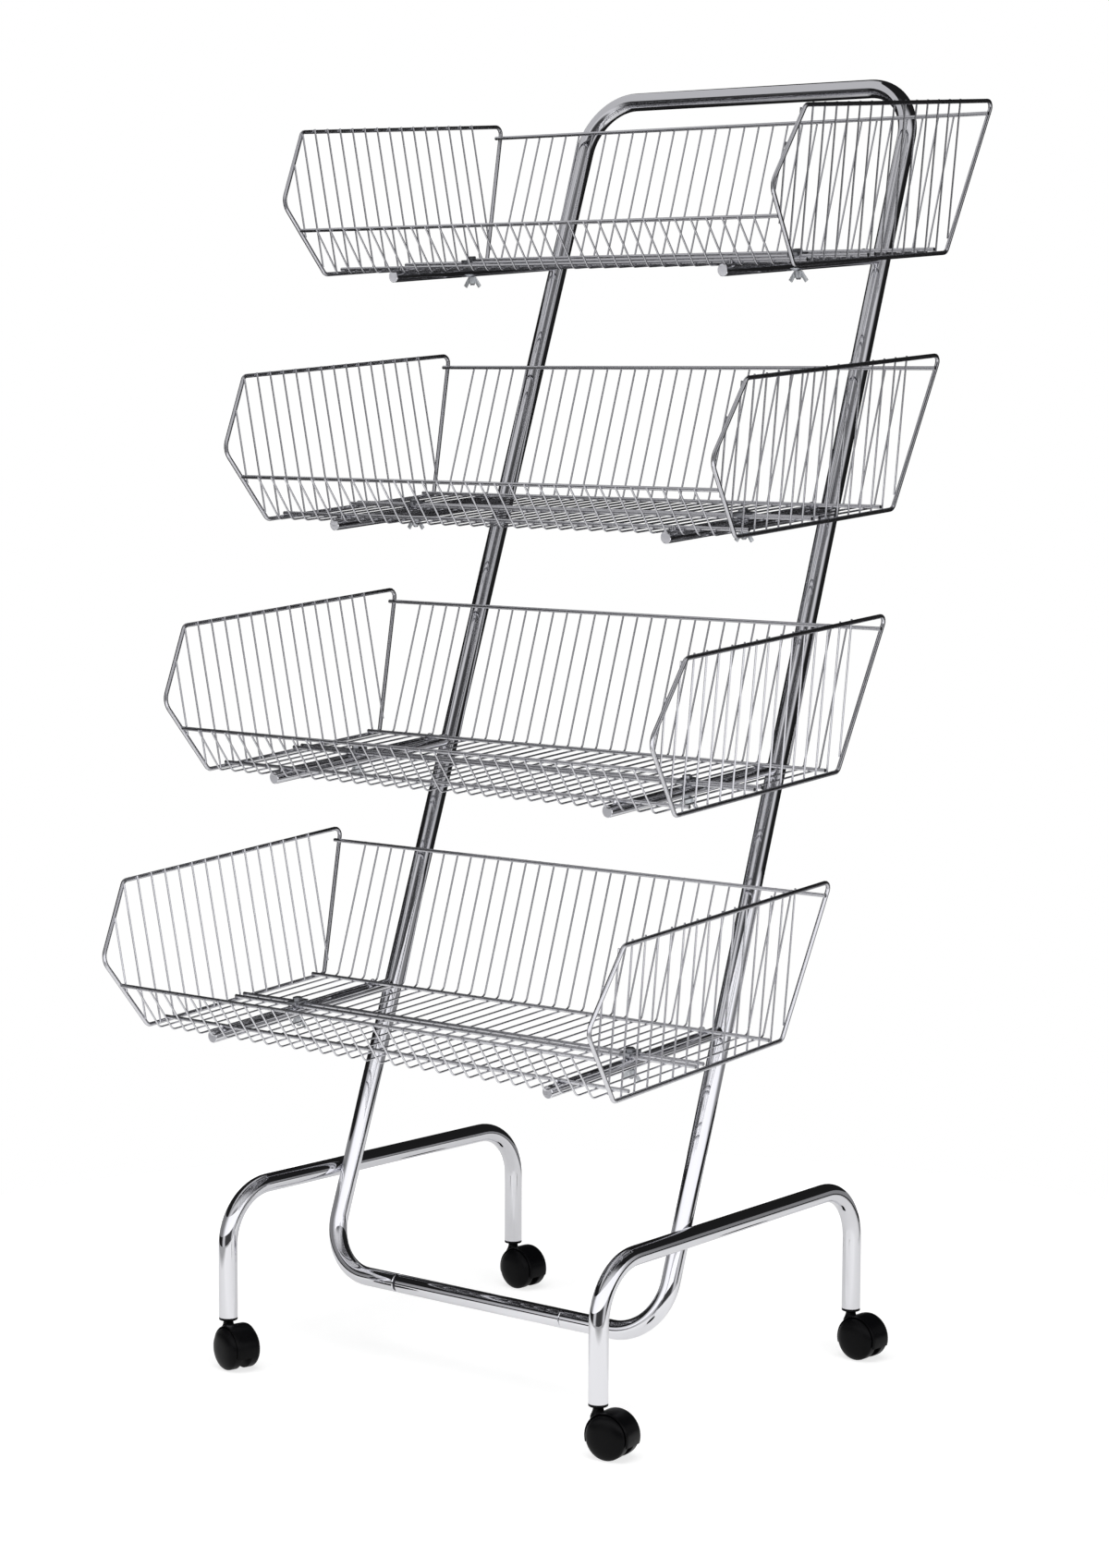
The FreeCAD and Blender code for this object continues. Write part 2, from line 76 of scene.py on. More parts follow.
ARM_ROOT = 0.002                # how deep an arm starts inside its upright
ARM_EDGE = 0.0006
STUD_R = 0.0025
STUD_HEIGHT = 0.005
STUD_ROOT = 0.001               # how deep a stud starts inside its arm

# Basket
SETBACK = 0.020
FLOOR_WIDTH = 0.690
FLARE = 0.139
FLOOR_DEPTH = 0.303
NOSE_REACH = 0.357
NOSE_HEIGHT = 0.087
TOP_REACH = 0.305
BASKET_HEIGHT = 0.170
BACK_LEAN = LEAN + ARM_TILT - math.radians(1.335)
FRAME_ROD_R = 0.0025
RAIL_R = 0.00225
WIRE_R = 0.0011
CAD_ROD_SIDES = 8               # flat sides of the CAD model's rods, whose corners reach past these radii
FRAME_BEND = 0.0075
NOSE_BEND = 0.0184
WIRE_BEND = 0.007
FRONT_RIM_Z = 0.0535
RIM_BELOW_TOP = 0.0162
RIM_OVERHANG = 0.0005
FRONT_ROD_Y = -0.275
MIDDLE_RODS_Y = -0.150
MIDDLE_RODS_GAP = 0.014
REAR_ROD_Y = -0.022
ROD_OVERHANG = 0.0015
CROSS_WIRES = 31
WIRES_BETWEEN_ARMS = 23
WIRE_PAST_RIM = 0.0005
SIDE_WIRES = 16
FIRST_SIDE_WIRE = 0.026
LAST_SIDE_WIRE = 0.0065

# Clamps: saddles, bolts and wing nuts
SADDLE_WIDTH = 0.014
SADDLE_THICK = 0.002
SADDLE_LIP = 0.002
SADDLE_EDGE = 0.0005
BOLT_R = 0.003
BOLT_TIP = 0.0105               # how far a bolt reaches below its arm
BOLT_POINT = 0.001
HEAD_FLATS = 0.010
HEAD_HEIGHT = 0.004
HEAD_EDGE = 0.0006
NUT_GAP = 0.0003
HUB_HEIGHT = 0.008
HUB_COLLAR = 0.003              # height of the hub's straight part
HUB_R = 0.0050
HUB_TIP_R = 0.0043
WING_THICK = 0.0018
WING_EDGE = 0.0006
# Corners of a wing as (distance from the bolt's axis, height counted from the nut's upper face)
WING = [(0.0040, -0.0010), (0.0040, -0.0055), (0.0092, -0.0135), (0.0135, -0.0105), (0.0065, -0.0010)]

# Casters
CASTER_HEADING = {"front_left": -14.0, "front_right": 7.0, "rear_left": -4.0, "rear_right": -3.0}
CASTER_HEIGHT = 0.058
TRAIL = 0.018
WHEEL_R = 0.025
WHEEL_INNER = 0.0056
WHEEL_EDGE = 0.001
TREAD_WIDTH = 0.0115
DOME_HEIGHT = 0.0055
SHOULDER_DEPTH = 0.0085         # from the dome's tip back to where the tread starts to round off
AXLE_R = 0.003
AXLE_END = 0.017
AXLE_SPARE = 0.0005             # depth of a wheel's bore beyond the axle's end
HOOD_R = 0.0277
HOOD_HALF_WIDTH = 0.015
HOOD_DROP = 0.008               # how far the hood reaches below the axle
HOOD_WALL = 0.0006
# Rounded side of the hood as (distance from its side edge, radius)
HOOD_ROUND = [(0.0, 0.0266), (0.0008, 0.0271), (0.0022, 0.0275), (0.0045, HOOD_R)]
WEB_HALF = 0.005
WEB_BELOW_HOOD = 0.0008
WEB_EDGE = 0.0006
BOSS_ROOT_R = 0.0090
BOSS_R = 0.0060
BOSS_EDGE = 0.0005
# Flare of the boss as (height above the floor, radius)
BOSS_FLARE = [(0.0440, 0.0088), (0.0470, 0.0074), (0.0495, 0.0064), (0.0515, BOSS_R)]
SPIGOT_R = 0.0032
SPIGOT_END = 0.040
SPIGOT_POINT = 0.0006
STEM_R = 0.005
STEM_SHOULDER = 0.0536
STEM_TOP = 0.086
STEM_EDGE = 0.001
SWIVEL_GAP = 0.0003
SOCKET_FLANGE = 0.0032
SOCKET_LENGTH = 0.030
FLANGE_EDGE = 0.0005            # height of the round at both edges of the flange
FLANGE_LOW_ROUND = 0.0006       # how far it goes in at the lower edge
FLANGE_TOP_ROUND = 0.0003       # and at the upper edge

# Places that follow from what rests on what
ROD_Z = FRAME_ROD_R + RAIL_R + SEAT
MEMBER_ABOVE_ARM = ARM_R + RAIL_R + SEAT - ROD_Z
WIRE_Z = ROD_Z - RAIL_R - WIRE_R - SEAT
BOLT_Y = MIDDLE_RODS_Y - SETBACK
RODS_TOP = ARM_R + 2 * RAIL_R + SEAT
MIRROR_X = Matrix.Scale(-1, 4, (1, 0, 0))
MIRROR_Y = Matrix.Scale(-1, 4, (0, 1, 0))

cross_low, cross_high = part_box("bottom_cross_tube")
CROSS_TUBE_Y = (cross_low[1] + cross_high[1]) / 2


def upright_y(z):
    """Distance of an upright's axis behind the cross tube at a height."""
    return (z - CROSS_TUBE_Z) * math.tan(LEAN)


def upright_x(z):
    """Distance of an upright's axis from the centre plane at a height."""
    return HALF_WIDTH - (z - CROSS_TUBE_Z) / math.cos(LEAN) * TAPER


def tier_z(tier):
    """Height at which a tier's arms meet the uprights; tiers count from 0."""
    return FIRST_ARM_Z + tier * (TOP_BAR_Z - LAST_ARM_BELOW_BAR - FIRST_ARM_Z) / (TIERS - 1)


def tier_frame(tier):
    """Where a tier's own frame stands: its origin is level with where the arm and upright axes meet."""
    z = tier_z(tier)
    return Matrix.Translation((0, CROSS_TUBE_Y + upright_y(z), z)) @ Matrix.Rotation(ARM_TILT, 4, "X")


def on_arms(tier):
    """Places of the left and right arm's own frames; the left one is a mirror image."""
    right = Matrix.Translation((upright_x(tier_z(tier)), 0, 0))
    return {"left": tier_frame(tier) @ MIRROR_X @ right, "right": tier_frame(tier) @ right}


def leg_frame(side):
    """Where a leg's own frame stands: on the floor beside its weld, with y along the level run."""
    turn = Matrix.Rotation(side * LEG_SPLAY, 4, "Z")
    run = turn @ Vector((0, 1, 0))
    upright = Vector((-side * TAPER, math.sin(LEAN), math.cos(LEAN)))
    apart = run.cross(upright).normalized() * side * (2 * TUBE_R + SEAT)
    weld = Vector((side * upright_x(LEG_RUN_Z), CROSS_TUBE_Y + upright_y(LEG_RUN_Z), 0)) + apart
    return Matrix.Translation((weld.x, weld.y, 0)) @ turn


LEG_FRONT = -LEG_AHEAD - upright_y(LEG_RUN_Z)
LEG_REAR = LEG_BEHIND - upright_y(LEG_RUN_Z)


def caster_frame(name):
    """Where a caster's own frame stands: on the floor under its stem, wheels towards +X."""
    leg = leg_frame(-1 if "left" in name else 1)
    place = leg @ Vector((0, LEG_FRONT if "front" in name else LEG_REAR, 0))
    return Matrix.Translation(place) @ Matrix.Rotation(math.radians(CASTER_HEADING[name]), 4, "Z")


# Materials
def plain_material(name, colour, metallic, roughness, specular=0.5):
    material = bpy.data.materials.new(name)
    material.use_nodes = True
    shader = material.node_tree.nodes["Principled BSDF"]
    shader.inputs["Base Color"].default_value = (*colour, 1)
    shader.inputs["Metallic"].default_value = metallic
    shader.inputs["Roughness"].default_value = roughness
    shader.inputs["Specular IOR Level"].default_value = specular
    return material


chrome = plain_material("polished chrome", (0.80, 0.80, 0.83), 1.0, 0.03)
wire_chrome = plain_material("chromed wire", (0.70, 0.70, 0.73), 1.0, 0.25)
zinc = plain_material("zinc plate", (0.82, 0.85, 0.88), 0.4, 0.30)
sawn_end = plain_material("sawn end", (0.85, 0.85, 0.90), 0.0, 0.60, 0.30)
dull_zinc = plain_material("dull zinc plate", (0.42, 0.43, 0.45), 1.0, 0.30)
# Near-black steel: its darkness is painted shade for the recess of the open joint, where the sleeve shows
# between the tube ends
steel_painted_dark = plain_material("steel darkened as painted joint shade", (0.10, 0.10, 0.11), 1.0, 0.25)
black_plastic = plain_material("black caster plastic", (0.003, 0.003, 0.0035), 0.0, 0.30, 0.10)

# Modelling helpers
WELD_WITHIN = 0.00002           # points closer than this become one
SMOOTH_BELOW = 40               # edges flatter than this many degrees are shaded smooth


def begin():
    """Leave edit mode and select nothing."""
    if bpy.context.object and bpy.context.object.mode != "OBJECT":
        bpy.ops.object.mode_set(mode="OBJECT")
    bpy.ops.object.select_all(action="DESELECT")


def pick(*pieces):
    """Select pieces, with the first of them as the active one."""
    begin()
    for piece in pieces:
        piece.select_set(True)
    bpy.context.view_layer.objects.active = pieces[0]


def open_up():
    """Take the shape that was just added into edit mode, with all its points selected."""
    piece = bpy.context.object
    bpy.ops.object.transform_apply(location=True, rotation=True, scale=True)
    bpy.ops.object.mode_set(mode="EDIT")
    bpy.ops.mesh.select_mode(type="VERT")
    bpy.ops.mesh.select_all(action="SELECT")
    return piece


def end(piece, name, material, smooth=SMOOTH_BELOW):
    """Leave edit mode and give the piece its name, material and shading."""
    bpy.ops.object.mode_set(mode="OBJECT")
    piece.name = name
    piece.data.materials.clear()
    piece.data.materials.append(material)
    bpy.ops.object.shade_smooth_by_angle(angle=math.radians(smooth))
    return piece


def extrude(step):
    bpy.ops.mesh.extrude_region_move(TRANSFORM_OT_translate={"value": step})


def ring(centre, along, radius, sides):
    """Start a swept piece with a ring of edges, left open in edit mode with the ring selected."""
    begin()
    turn = along.to_track_quat("Z", "Y").to_euler()
    bpy.ops.mesh.primitive_circle_add(vertices=sides, radius=radius, location=centre, rotation=turn)
    return open_up()


def line(points):
    """Line of edges drawn from one vertex, left selected in edit mode."""
    begin()
    bpy.ops.mesh.primitive_plane_add(size=0.001, location=points[0])
    piece = open_up()
    bpy.ops.mesh.merge(type="CENTER")
    for here, there in zip(points, points[1:]):
        extrude(Vector(there) - Vector(here))
    bpy.ops.mesh.select_all(action="SELECT")
    return piece


def face_outwards():
    bpy.ops.mesh.select_all(action="SELECT")
    bpy.ops.mesh.normals_make_consistent(inside=False)


def close_up(closed):
    """Weld a sweep that came back to its start, or fill the ends of one that didn't."""
    bpy.ops.mesh.select_all(action="SELECT")
    if closed:
        bpy.ops.mesh.remove_doubles(threshold=WELD_WITHIN)
    else:
        bpy.ops.mesh.fill_holes(sides=0)
    face_outwards()


def bent_rod(name, route, radius, material, bends=0.0, sides=8, steps=3, closed=False):
    """Rod along a route: a ring is extruded along each straight run and spun round each bend.

    The bends are one radius for all corners or a list of radii, and a straight rod needs none."""
    route = [Vector(p) for p in route]
    if not isinstance(bends, list):
        bends = [bends] * len(route)
    if closed:
        middle = (route[0] + route[1]) / 2
        route = [middle] + route[1:] + [route[0], middle]
    piece = ring(route[0], route[1] - route[0], radius, sides)
    here = route[0]
    for before, corner, after, bend in zip(route, route[1:], route[2:], bends):
        back = (before - corner).normalized()
        ahead = (after - corner).normalized()
        half = back.angle(ahead) / 2
        reach = bend / math.tan(half)
        extrude(corner + back * reach - here)
        centre = corner + (back + ahead).normalized() * (bend / math.sin(half))
        bpy.ops.mesh.spin(steps=steps, angle=math.pi - 2 * half, center=centre, axis=back.cross(ahead))
        here = corner + ahead * reach
    extrude(route[-1] - here)
    close_up(closed)
    return end(piece, name, material)


def bore_ends(piece, route, wall, depth, edge):
    """Hollow out both ends of a bent rod: each end face is inset by the wall and pushed inwards.

    With an edge, the end's outer corner is first cut back by that much."""
    for tip, beside in ((route[0], route[1]), (route[-1], route[-2])):
        inwards = (Vector(beside) - Vector(tip)).normalized()
        pick(piece)
        bpy.ops.object.mode_set(mode="EDIT")
        bpy.ops.mesh.select_mode(type="FACE")
        bpy.ops.mesh.select_all(action="DESELECT")
        bpy.ops.object.mode_set(mode="OBJECT")
        for face in piece.data.polygons:
            face.select = (face.center - Vector(tip)).length < wall
        bpy.ops.object.mode_set(mode="EDIT")
        if edge:
            bpy.ops.transform.translate(value=inwards * edge)
            bpy.ops.mesh.inset(thickness=edge, depth=edge)
        bpy.ops.mesh.inset(thickness=wall - edge)
        extrude(inwards * depth)
        bpy.ops.object.mode_set(mode="OBJECT")
    bpy.ops.object.shade_smooth_by_angle(angle=math.radians(SMOOTH_BELOW))
    return piece


def turned_piece(name, start, along, profile, material, sides=32, closed=False, smooth=35):
    """Turned piece: a ring is extruded along an axis and resized, by (distance, radius) steps."""
    start = Vector(start)
    along = Vector(along).normalized()
    travel, radius = profile[0]
    piece = ring(start + along * travel, along, radius, sides)
    for next_travel, next_radius in profile[1:]:
        extrude(along * (next_travel - travel))
        grow = next_radius / radius
        bpy.ops.transform.resize(value=(grow, grow, grow), center_override=start + along * next_travel)
        travel, radius = next_travel, next_radius
    close_up(closed)
    return end(piece, name, material, smooth)


def soften(piece, width, segments=2):
    """Round off the edges of a piece."""
    soft = piece.modifiers.new("soft edges", "BEVEL")
    soft.width = width
    soft.segments = segments
    bpy.ops.object.modifier_apply(modifier=soft.name)


def plate(name, outline, thickness, material, bevel):
    """Flat piece: an outline is drawn, filled, pushed out by its thickness and softened at its edges."""
    piece = line(list(outline) + [outline[0]])
    bpy.ops.mesh.remove_doubles(threshold=WELD_WITHIN)
    bpy.ops.mesh.edge_face_add()
    extrude(thickness)
    face_outwards()
    bpy.ops.object.mode_set(mode="OBJECT")
    soften(piece, bevel)
    return end(piece, name, material)


def join(name, pieces):
    """Make one object of several pieces."""
    pick(*pieces)
    if len(pieces) > 1:
        bpy.ops.object.join()
    pieces[0].name = name
    return pieces[0]


def array(piece, count, step):
    """Repeat a piece in a row."""
    pick(piece)
    row = piece.modifiers.new("row", "ARRAY")
    row.count = count
    row.use_relative_offset = False
    row.use_constant_offset = True
    row.constant_offset_displace = step
    bpy.ops.object.modifier_apply(modifier=row.name)
    return piece


def copy_to(piece, name, place):
    """Copy a pattern to its place, which may be a mirror image."""
    copy = piece.copy()
    copy.data = piece.data.copy()
    copy.name = name
    copy.data.transform(place)
    if place.determinant() < 0:
        copy.data.flip_normals()
    bpy.context.collection.objects.link(copy)
    return copy


def drop(*pieces):
    """Remove patterns that have been copied to all their places."""
    for piece in pieces:
        bpy.data.objects.remove(piece)


def fit(piece, body, slot, *nodes):
    """Let a finished piece stand for CAD nodes and move with a body."""
    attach(piece, body)
    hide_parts(*nodes)


# Frame: loop, cross tube, legs and arms
def loop_point(x, along):
    """Point in the loop's leaning plane, by its distance up the plane from the cross tube's axis."""
    return Vector((x, CROSS_TUBE_Y + along * math.sin(LEAN), CROSS_TUBE_Z + along * math.cos(LEAN)))


def tube(name, route, insert, edge=0.0):
    """Bent tube whose ends are bored for an insert of a given length."""
    piece = bent_rod(name, route, TUBE_R, chrome, BEND_R, sides=48, steps=16)
    return bore_ends(piece, route, TUBE_WALL, insert + BORE_SPARE, edge)


def frame_loop():
    height = (TOP_BAR_Z - CROSS_TUBE_Z) / math.cos(LEAN)
    top = upright_x(TOP_BAR_Z)
    route = [loop_point(JOINT_RIGHT + CLOSED_JOINT / 2, 0), loop_point(HALF_WIDTH, 0),
             loop_point(top, height), loop_point(-top, height),
             loop_point(-HALF_WIDTH, 0), loop_point(JOINT_LEFT - OPEN_JOINT / 2, 0)]
    return tube("frame_loop_finished", route, SLEEVE_LENGTH / 2, TUBE_EDGE)


def cross_tube():
    route = [loop_point(JOINT_LEFT + OPEN_JOINT / 2, 0), loop_point(JOINT_RIGHT - CLOSED_JOINT / 2, 0)]
    return tube("bottom_cross_tube_finished", route, SLEEVE_LENGTH / 2, TUBE_EDGE)


def leg():
    route = [(0, LEG_FRONT, CASTER_HEIGHT), (0, LEG_FRONT, LEG_RUN_Z),
             (0, LEG_REAR, LEG_RUN_Z), (0, LEG_REAR, CASTER_HEIGHT)]
    return tube("leg", route, SOCKET_LENGTH)


def arm():
    """Round bar from just inside the upright's wall to its sawn free end, which has a broken edge."""
    profile = [(TUBE_R - ARM_ROOT, ARM_R), (ARM_LENGTH - ARM_EDGE, ARM_R), (ARM_LENGTH, ARM_R - ARM_EDGE)]
    bar = turned_piece("arm", (0, 0, 0), (0, -1, 0), profile, chrome)
    bar.data.materials.append(sawn_end)
    for face in bar.data.polygons:
        if face.center.y < ARM_EDGE / 4 - ARM_LENGTH:
            face.material_index = 1
    return bar


fit(frame_loop(), "stand", "chrome", "frame_loop")
fit(cross_tube(), "stand", "chrome", "bottom_cross_tube")
leg_pattern = leg()
for side_name, side in (("left", -1), ("right", 1)):
    node = side_name + "_leg"
    fit(copy_to(leg_pattern, node + "_finished", leg_frame(side)), "stand", "chrome", node)
drop(leg_pattern)


# Basket, made in the frame of its tier
def in_basket(x, y, z):
    """Point of the basket, whose origin is midway between its side frames' back bottom corners."""
    return Vector((x, y - SETBACK, z + MEMBER_ABOVE_ARM))


def panel_x(z, inset=0.0):
    """Distance of a flared side panel from the centre plane at a height."""
    return FLOOR_WIDTH / 2 + FLARE * z - inset


BACK_REACH = BASKET_HEIGHT * math.tan(BACK_LEAN)
PANEL = [(0, 0), (-FLOOR_DEPTH, 0), (-NOSE_REACH, NOSE_HEIGHT), (-TOP_REACH, BASKET_HEIGHT),
         (BACK_REACH, BASKET_HEIGHT)]
FRONT_RIM_Y = -FLOOR_DEPTH - (NOSE_REACH - FLOOR_DEPTH) * FRONT_RIM_Z / NOSE_HEIGHT
RIM_BEFORE = (FRAME_ROD_R + RAIL_R) / math.cos(math.pi / CAD_ROD_SIDES) + SEAT
BACK_RIM_Y = (BASKET_HEIGHT - RIM_BELOW_TOP) * math.tan(BACK_LEAN) - RIM_BEFORE * math.cos(BACK_LEAN)
BACK_RIM_Z = BASKET_HEIGHT - RIM_BELOW_TOP + RIM_BEFORE * math.sin(BACK_LEAN)


def side_frames():
    """Closed outlines; the bends start at the front bottom corner, and the nose is the second of them."""
    bends = [FRAME_BEND, NOSE_BEND, FRAME_BEND, FRAME_BEND, FRAME_BEND]
    route = [in_basket(panel_x(z), y, z) for y, z in PANEL]
    right = bent_rod("side frame", route, FRAME_ROD_R, wire_chrome, bends, sides=12, steps=5, closed=True)
    left = copy_to(right, "left side frame", MIRROR_X)
    return join("basket side frames", [right, left])


def rails():
    """Front rim, back rim and the four rods of the floor."""
    rods = [(FRONT_RIM_Y, FRONT_RIM_Z, panel_x(FRONT_RIM_Z, FRAME_ROD_R)),
            (BACK_RIM_Y, BACK_RIM_Z, panel_x(BACK_RIM_Z) + FRAME_ROD_R + RIM_OVERHANG)]
    beside = MIDDLE_RODS_GAP / 2
    for y in (FRONT_ROD_Y, MIDDLE_RODS_Y - beside, MIDDLE_RODS_Y + beside, REAR_ROD_Y):
        rods.append((y, ROD_Z, FLOOR_WIDTH / 2 - ROD_OVERHANG))
    pieces = []
    for y, z, half in rods:
        route = [in_basket(-half, y, z), in_basket(half, y, z)]
        pieces.append(bent_rod("rail", route, RAIL_R, wire_chrome, sides=12))
    return join("basket rails", pieces)


def beside_rim(y, z, slope, outward):
    """End and floor corner of the leg of a cross wire that passes a rim."""
    along = Vector((0, *slope)).normalized()
    out = Vector((0, along.z, -along.y)) * outward
    beside = Vector((0, y, z)) + out * (RAIL_R + WIRE_R + SEAT)
    tip = beside + along * (RAIL_R + WIRE_PAST_RIM)
    corner = beside - along * ((beside.z - WIRE_Z) / along.z)
    return tip, corner


def cross_wires():
    """Row of wires that run down the back, under the floor rods and up the low front."""
    back_tip, back_corner = beside_rim(BACK_RIM_Y, BACK_RIM_Z, (BACK_REACH, BASKET_HEIGHT), 1)
    front_slope = (FLOOR_DEPTH - NOSE_REACH, NOSE_HEIGHT)
    front_tip, front_corner = beside_rim(FRONT_RIM_Y, FRONT_RIM_Z, front_slope, -1)
    pitch = (upright_x(tier_z(0)) + upright_x(tier_z(TIERS - 1))) / WIRES_BETWEEN_ARMS
    first_x = -pitch * (CROSS_WIRES - 1) / 2
    route = [in_basket(first_x, p.y, p.z) for p in (back_tip, back_corner, front_corner, front_tip)]
    wire = bent_rod("basket cross wires", route, WIRE_R, wire_chrome, WIRE_BEND)
    return array(wire, CROSS_WIRES, (pitch, 0, 0))


def side_wire_span(y):
    """Heights between which a side wire at a depth runs on its side frame."""
    low, high = 0.0, BASKET_HEIGHT
    if y < -FLOOR_DEPTH:
        low = NOSE_HEIGHT * (-FLOOR_DEPTH - y) / (NOSE_REACH - FLOOR_DEPTH)
    if y > 0:
        low = BASKET_HEIGHT * y / BACK_REACH
    if y < -TOP_REACH:
        high = NOSE_HEIGHT + (BASKET_HEIGHT - NOSE_HEIGHT) * (y + NOSE_REACH) / (NOSE_REACH - TOP_REACH)
    return low, high


def side_wires():
    """Upright wires on the inner faces of both side frames."""
    inset = (FRAME_ROD_R + WIRE_R + SEAT) * math.hypot(1, FLARE)
    first_y = FIRST_SIDE_WIRE - NOSE_REACH
    pitch = (LAST_SIDE_WIRE - first_y) / (SIDE_WIRES - 1)
    pieces = []
    for k in range(SIDE_WIRES):
        y = first_y + k * pitch
        low, high = side_wire_span(y)
        high += FRAME_ROD_R + WIRE_PAST_RIM
        route = [in_basket(panel_x(low, inset), y, low), in_basket(panel_x(high, inset), y, high)]
        pieces.append(bent_rod("side wire", route, WIRE_R, wire_chrome))
    right = join("side wires", pieces)
    left = copy_to(right, "left side wires", MIRROR_X)
    return join("basket side wires", [right, left])


basket_parts = {"basket_side_frames": side_frames(), "basket_rails": rails(),
                "basket_cross_wires": cross_wires(), "basket_side_wires": side_wires()}
for tier in range(TIERS):
    for part_name, pattern in basket_parts.items():
        node = "tier%d_%s" % (tier + 1, part_name)
        fit(copy_to(pattern, node + "_finished", tier_frame(tier)), "stand", "chrome", node)
drop(*basket_parts.values())


# Studs, saddles, bolts and wing nuts, made about the axis of one arm
def stud(y):
    """Short pin on top of an arm, with a rounded end."""
    top = ARM_R + STUD_HEIGHT
    profile = [(ARM_R - STUD_ROOT, STUD_R), (top - STUD_R / 2, STUD_R), (top - STUD_R / 5, STUD_R * 0.85),
               (top, STUD_R * 0.5)]
    return turned_piece("stud", (0, y, 0), (0, 0, 1), profile, chrome, sides=16)


def saddle():
    """Pressed strap over the two middle rods, with its edges turned down beside them."""
    half = MIDDLE_RODS_GAP / 2 + RAIL_R + SADDLE_LIP
    inner = half - SADDLE_THICK
    low = ARM_R + RAIL_R
    under = RODS_TOP + SEAT
    top = under + SADDLE_THICK
    section = [(-half, low), (-inner, low), (-inner, under), (inner, under),
               (inner, low), (half, low), (half, top), (-half, top)]
    outline = [Vector((-SADDLE_WIDTH / 2, BOLT_Y + y, z)) for y, z in section]
    return plate("saddle", outline, Vector((SADDLE_WIDTH, 0, 0)), dull_zinc, SADDLE_EDGE)


def bolt():
    """Bolt with a six-sided head on the saddle and a shank that has a little play in its nut."""
    seat = RODS_TOP + SADDLE_THICK + 2 * SEAT
    low = -ARM_R - BOLT_TIP
    shank_r = BOLT_R * 0.98
    corner = HEAD_FLATS / math.sqrt(3)
    shank_profile = [(low, BOLT_R * 0.7), (low + BOLT_POINT, shank_r), (seat, shank_r)]
    head_profile = [(seat, corner), (seat + HEAD_HEIGHT - HEAD_EDGE, corner),
                    (seat + HEAD_HEIGHT, corner * 0.86)]
    shank = turned_piece("bolt", (0, BOLT_Y, 0), (0, 0, 1), shank_profile, dull_zinc, sides=20)
    head = turned_piece("bolt head", (0, BOLT_Y, 0), (0, 0, 1), head_profile, dull_zinc, sides=6)
    return join("bolt", [shank, head])


def wing_nut():
    """Turned hub with two pressed wings that hang down beside the bolt."""
    face = ARM_R + NUT_GAP
    low = face + HUB_HEIGHT
    bore = BOLT_R + BORE_PLAY
    profile = [(face, bore), (face, HUB_R), (face + HUB_COLLAR, HUB_R), (low, HUB_TIP_R), (low, bore),
               (face, bore)]
    pieces = [turned_piece("hub", (0, BOLT_Y, 0), (0, 0, -1), profile, zinc, sides=24, closed=True)]
    for side in (-1, 1):
        outline = [Vector((side * r, BOLT_Y - WING_THICK / 2, z - face)) for r, z in WING]
        pieces.append(plate("wing", outline, Vector((0, WING_THICK, 0)), zinc, WING_EDGE))
    return join("wing nut", pieces)


away = RAIL_R + STUD_R + SEAT
tier_hardware = {
    "locating_studs": ("chrome", [stud(FRONT_ROD_Y - SETBACK - away), stud(REAR_ROD_Y - SETBACK + away)]),
    "clamp_saddles": ("zinc", [saddle()]),
    "clamp_bolts": ("zinc", [bolt()])}
for node, (slot, patterns) in tier_hardware.items():
    copies = []
    for pattern in patterns:
        for tier in range(TIERS):
            for place in on_arms(tier).values():
                copies.append(copy_to(pattern, node + "_part", place))
    drop(*patterns)
    fit(join(node + "_finished", copies), "stand", slot, node)

bar = arm()
nut = wing_nut()
for tier in range(TIERS):
    places = on_arms(tier)
    node = "tier%d_arms" % (tier + 1)
    bars = [copy_to(bar, node + "_part", place) for place in places.values()]
    fit(join(node + "_finished", bars), "stand", "chrome", node)
    for side_name, place in places.items():
        node = "tier%d_%s_wing_nut" % (tier + 1, side_name)
        fit(copy_to(nut, node + "_finished", place), node, "zinc", node)
drop(bar, nut)

# Casters, made about the swivel axis with the wheels behind it on +X
AXLE = Vector((TRAIL, 0, WHEEL_R))


def wheel():
    """Wheel with a blind bore, a plain tread and a bulging outer face with a round shoulder."""
    steps = 10
    crowding = 2.2              # above 1 it sets the rings closer together at the shoulder
    fullness = 2.6              # 2 would make the face an ellipse, and more makes it fuller
    tip = WHEEL_INNER + TREAD_WIDTH + DOME_HEIGHT
    shoulder = tip - SHOULDER_DEPTH
    bore = AXLE_R + LOOSE_PLAY
    profile = [(AXLE_END + AXLE_SPARE, bore), (WHEEL_INNER, bore), (WHEEL_INNER, WHEEL_R - WHEEL_EDGE),
               (WHEEL_INNER + WHEEL_EDGE, WHEEL_R), (shoulder, WHEEL_R)]
    for k in range(1, steps):
        radius = WHEEL_R * (1 - (k / steps) ** crowding)
        bulge = math.sqrt(1 - (radius / WHEEL_R) ** fullness)
        profile.append((shoulder + (tip - shoulder) * bulge, radius))
    return turned_piece("wheel", AXLE, (0, 1, 0), profile, black_plastic, sides=48)


